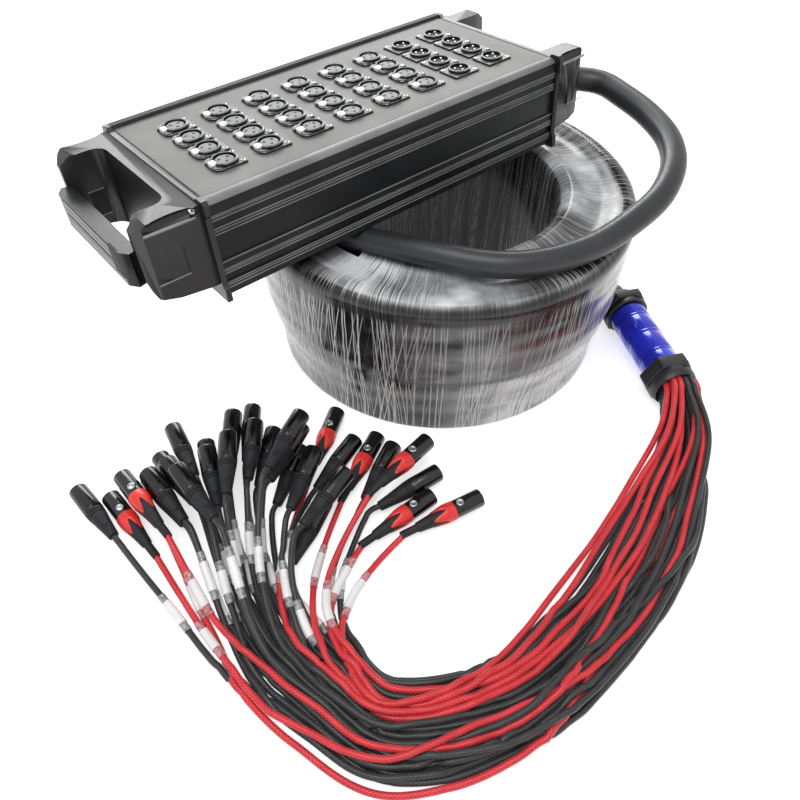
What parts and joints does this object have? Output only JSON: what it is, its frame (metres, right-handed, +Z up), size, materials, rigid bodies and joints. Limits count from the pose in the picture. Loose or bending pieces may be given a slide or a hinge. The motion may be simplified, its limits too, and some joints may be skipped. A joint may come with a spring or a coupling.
{
  "type": "multicore audio cable",
  "caption": "Stage box with a grid of round audio sockets, lying on its film-wrapped coil of multicore cable, with a breakout sleeve and a fan of tails that end in plugs.",
  "frame": {"origin": "on the floor, under the middle of the coil, stage box and breakout", "axes": "+X along the stage box from its handle to its cable end, +Z up"},
  "size_m": [0.6962, 0.6559, 0.2966],
  "materials": {
    "housing_aluminium": "satin dark anodised extrusion",
    "panel_grey": "fine satin paint, with black socket shells",
    "cap_black": "moulded, fine grained",
    "gland_black": "moulded",
    "jacket_black": "smooth soft cable jacket",
    "film_grey": "stretch film with streaky highlights",
    "nut_black": "moulded hexagon nut",
    "sleeve_blue": "glossy",
    "tail_black": "thin cable jacket with moulded plugs",
    "tail_red": "thin cable jacket",
    "latch_silver": "bright"
  },
  "bodies": {
    "snake": {"housing": "housing_aluminium", "socket_panel": "panel_grey", "handle_end_cap": "cap_black", "cable_end_cap": "cap_black", "cable_gland": "gland_black", "multicore_run": "jacket_black", "multicore_coil": "jacket_black", "coil_core": "jacket_black", "film_wrap": "film_grey", "breakout_inlet_nut": "nut_black", "breakout_sleeve": "sleeve_blue", "breakout_outlet_nut": "nut_black", "send_tails": "tail_black", "return_cable_1": "tail_red", "return_cable_2": "tail_red", "return_cable_3": "tail_red", "return_cable_4": "tail_red", "return_cable_5": "tail_red", "return_cable_6": "tail_red", "return_cable_7": "tail_red", "return_cable_8": "tail_red"},
    "latch_1_1": {"latch_1_1": "latch_silver"},
    "latch_1_2": {"latch_1_2": "latch_silver"},
    "latch_1_3": {"latch_1_3": "latch_silver"},
    "latch_1_4": {"latch_1_4": "latch_silver"},
    "latch_2_1": {"latch_2_1": "latch_silver"},
    "latch_2_2": {"latch_2_2": "latch_silver"},
    "latch_2_3": {"latch_2_3": "latch_silver"},
    "latch_2_4": {"latch_2_4": "latch_silver"},
    "latch_3_1": {"latch_3_1": "latch_silver"},
    "latch_3_2": {"latch_3_2": "latch_silver"},
    "latch_3_3": {"latch_3_3": "latch_silver"},
    "latch_3_4": {"latch_3_4": "latch_silver"},
    "latch_4_1": {"latch_4_1": "latch_silver"},
    "latch_4_2": {"latch_4_2": "latch_silver"},
    "latch_4_3": {"latch_4_3": "latch_silver"},
    "latch_4_4": {"latch_4_4": "latch_silver"},
    "latch_5_1": {"latch_5_1": "latch_silver"},
    "latch_5_2": {"latch_5_2": "latch_silver"},
    "latch_5_3": {"latch_5_3": "latch_silver"},
    "latch_5_4": {"latch_5_4": "latch_silver"},
    "latch_6_1": {"latch_6_1": "latch_silver"},
    "latch_6_2": {"latch_6_2": "latch_silver"},
    "latch_6_3": {"latch_6_3": "latch_silver"},
    "latch_6_4": {"latch_6_4": "latch_silver"},
    "return_latch_1": {"return_latch_1": "latch_silver"},
    "return_latch_2": {"return_latch_2": "latch_silver"},
    "return_latch_3": {"return_latch_3": "latch_silver"},
    "return_latch_4": {"return_latch_4": "latch_silver"},
    "return_latch_5": {"return_latch_5": "latch_silver"},
    "return_latch_6": {"return_latch_6": "latch_silver"},
    "return_latch_7": {"return_latch_7": "latch_silver"},
    "return_latch_8": {"return_latch_8": "latch_silver"}
  },
  "joints": [
    {"name": "latch_1_1_push", "type": "slide", "parent": "snake", "child": "latch_1_1", "axis": [0, -0.0761, -0.9971], "range_m": [0, 0.0015], "stiffness_N_per_m": 400, "springref_m": -0.001},
    {"name": "latch_1_2_push", "type": "slide", "parent": "snake", "child": "latch_1_2", "axis": [0, -0.0761, -0.9971], "range_m": [0, 0.0015], "stiffness_N_per_m": 400, "springref_m": -0.001},
    {"name": "latch_1_3_push", "type": "slide", "parent": "snake", "child": "latch_1_3", "axis": [0, -0.0761, -0.9971], "range_m": [0, 0.0015], "stiffness_N_per_m": 400, "springref_m": -0.001},
    {"name": "latch_1_4_push", "type": "slide", "parent": "snake", "child": "latch_1_4", "axis": [0, -0.0761, -0.9971], "range_m": [0, 0.0015], "stiffness_N_per_m": 400, "springref_m": -0.001},
    {"name": "latch_2_1_push", "type": "slide", "parent": "snake", "child": "latch_2_1", "axis": [0, -0.0761, -0.9971], "range_m": [0, 0.0015], "stiffness_N_per_m": 400, "springref_m": -0.001},
    {"name": "latch_2_2_push", "type": "slide", "parent": "snake", "child": "latch_2_2", "axis": [0, -0.0761, -0.9971], "range_m": [0, 0.0015], "stiffness_N_per_m": 400, "springref_m": -0.001},
    {"name": "latch_2_3_push", "type": "slide", "parent": "snake", "child": "latch_2_3", "axis": [0, -0.0761, -0.9971], "range_m": [0, 0.0015], "stiffness_N_per_m": 400, "springref_m": -0.001},
    {"name": "latch_2_4_push", "type": "slide", "parent": "snake", "child": "latch_2_4", "axis": [0, -0.0761, -0.9971], "range_m": [0, 0.0015], "stiffness_N_per_m": 400, "springref_m": -0.001},
    {"name": "latch_3_1_push", "type": "slide", "parent": "snake", "child": "latch_3_1", "axis": [0, -0.0761, -0.9971], "range_m": [0, 0.0015], "stiffness_N_per_m": 400, "springref_m": -0.001},
    {"name": "latch_3_2_push", "type": "slide", "parent": "snake", "child": "latch_3_2", "axis": [0, -0.0761, -0.9971], "range_m": [0, 0.0015], "stiffness_N_per_m": 400, "springref_m": -0.001},
    {"name": "latch_3_3_push", "type": "slide", "parent": "snake", "child": "latch_3_3", "axis": [0, -0.0761, -0.9971], "range_m": [0, 0.0015], "stiffness_N_per_m": 400, "springref_m": -0.001},
    {"name": "latch_3_4_push", "type": "slide", "parent": "snake", "child": "latch_3_4", "axis": [0, -0.0761, -0.9971], "range_m": [0, 0.0015], "stiffness_N_per_m": 400, "springref_m": -0.001},
    {"name": "latch_4_1_push", "type": "slide", "parent": "snake", "child": "latch_4_1", "axis": [0, -0.0761, -0.9971], "range_m": [0, 0.0015], "stiffness_N_per_m": 400, "springref_m": -0.001},
    {"name": "latch_4_2_push", "type": "slide", "parent": "snake", "child": "latch_4_2", "axis": [0, -0.0761, -0.9971], "range_m": [0, 0.0015], "stiffness_N_per_m": 400, "springref_m": -0.001},
    {"name": "latch_4_3_push", "type": "slide", "parent": "snake", "child": "latch_4_3", "axis": [0, -0.0761, -0.9971], "range_m": [0, 0.0015], "stiffness_N_per_m": 400, "springref_m": -0.001},
    {"name": "latch_4_4_push", "type": "slide", "parent": "snake", "child": "latch_4_4", "axis": [0, -0.0761, -0.9971], "range_m": [0, 0.0015], "stiffness_N_per_m": 400, "springref_m": -0.001},
    {"name": "latch_5_1_push", "type": "slide", "parent": "snake", "child": "latch_5_1", "axis": [0, -0.0761, -0.9971], "range_m": [0, 0.0015], "stiffness_N_per_m": 400, "springref_m": -0.001},
    {"name": "latch_5_2_push", "type": "slide", "parent": "snake", "child": "latch_5_2", "axis": [0, -0.0761, -0.9971], "range_m": [0, 0.0015], "stiffness_N_per_m": 400, "springref_m": -0.001},
    {"name": "latch_5_3_push", "type": "slide", "parent": "snake", "child": "latch_5_3", "axis": [0, -0.0761, -0.9971], "range_m": [0, 0.0015], "stiffness_N_per_m": 400, "springref_m": -0.001},
    {"name": "latch_5_4_push", "type": "slide", "parent": "snake", "child": "latch_5_4", "axis": [0, -0.0761, -0.9971], "range_m": [0, 0.0015], "stiffness_N_per_m": 400, "springref_m": -0.001},
    {"name": "latch_6_1_push", "type": "slide", "parent": "snake", "child": "latch_6_1", "axis": [0, -0.0761, -0.9971], "range_m": [0, 0.0015], "stiffness_N_per_m": 400, "springref_m": -0.001},
    {"name": "latch_6_2_push", "type": "slide", "parent": "snake", "child": "latch_6_2", "axis": [0, -0.0761, -0.9971], "range_m": [0, 0.0015], "stiffness_N_per_m": 400, "springref_m": -0.001},
    {"name": "latch_6_3_push", "type": "slide", "parent": "snake", "child": "latch_6_3", "axis": [0, -0.0761, -0.9971], "range_m": [0, 0.0015], "stiffness_N_per_m": 400, "springref_m": -0.001},
    {"name": "latch_6_4_push", "type": "slide", "parent": "snake", "child": "latch_6_4", "axis": [0, -0.0761, -0.9971], "range_m": [0, 0.0015], "stiffness_N_per_m": 400, "springref_m": -0.001},
    {"name": "return_latch_1_push", "type": "slide", "parent": "snake", "child": "return_latch_1", "axis": [0, 0, -1], "range_m": [0, 0.0015], "stiffness_N_per_m": 400, "springref_m": -0.001},
    {"name": "return_latch_2_push", "type": "slide", "parent": "snake", "child": "return_latch_2", "axis": [0, 0, -1], "range_m": [0, 0.0015], "stiffness_N_per_m": 400, "springref_m": -0.001},
    {"name": "return_latch_3_push", "type": "slide", "parent": "snake", "child": "return_latch_3", "axis": [0, 0, -1], "range_m": [0, 0.0015], "stiffness_N_per_m": 400, "springref_m": -0.001},
    {"name": "return_latch_4_push", "type": "slide", "parent": "snake", "child": "return_latch_4", "axis": [0, 0, -1], "range_m": [0, 0.0015], "stiffness_N_per_m": 400, "springref_m": -0.001},
    {"name": "return_latch_5_push", "type": "slide", "parent": "snake", "child": "return_latch_5", "axis": [0, 0, -1], "range_m": [0, 0.0015], "stiffness_N_per_m": 400, "springref_m": -0.001},
    {"name": "return_latch_6_push", "type": "slide", "parent": "snake", "child": "return_latch_6", "axis": [0, 0, -1], "range_m": [0, 0.0015], "stiffness_N_per_m": 400, "springref_m": -0.001},
    {"name": "return_latch_7_push", "type": "slide", "parent": "snake", "child": "return_latch_7", "axis": [0, 0, -1], "range_m": [0, 0.0015], "stiffness_N_per_m": 400, "springref_m": -0.001},
    {"name": "return_latch_8_push", "type": "slide", "parent": "snake", "child": "return_latch_8", "axis": [0, 0, -1], "range_m": [0, 0.0015], "stiffness_N_per_m": 400, "springref_m": -0.001}
  ]
}
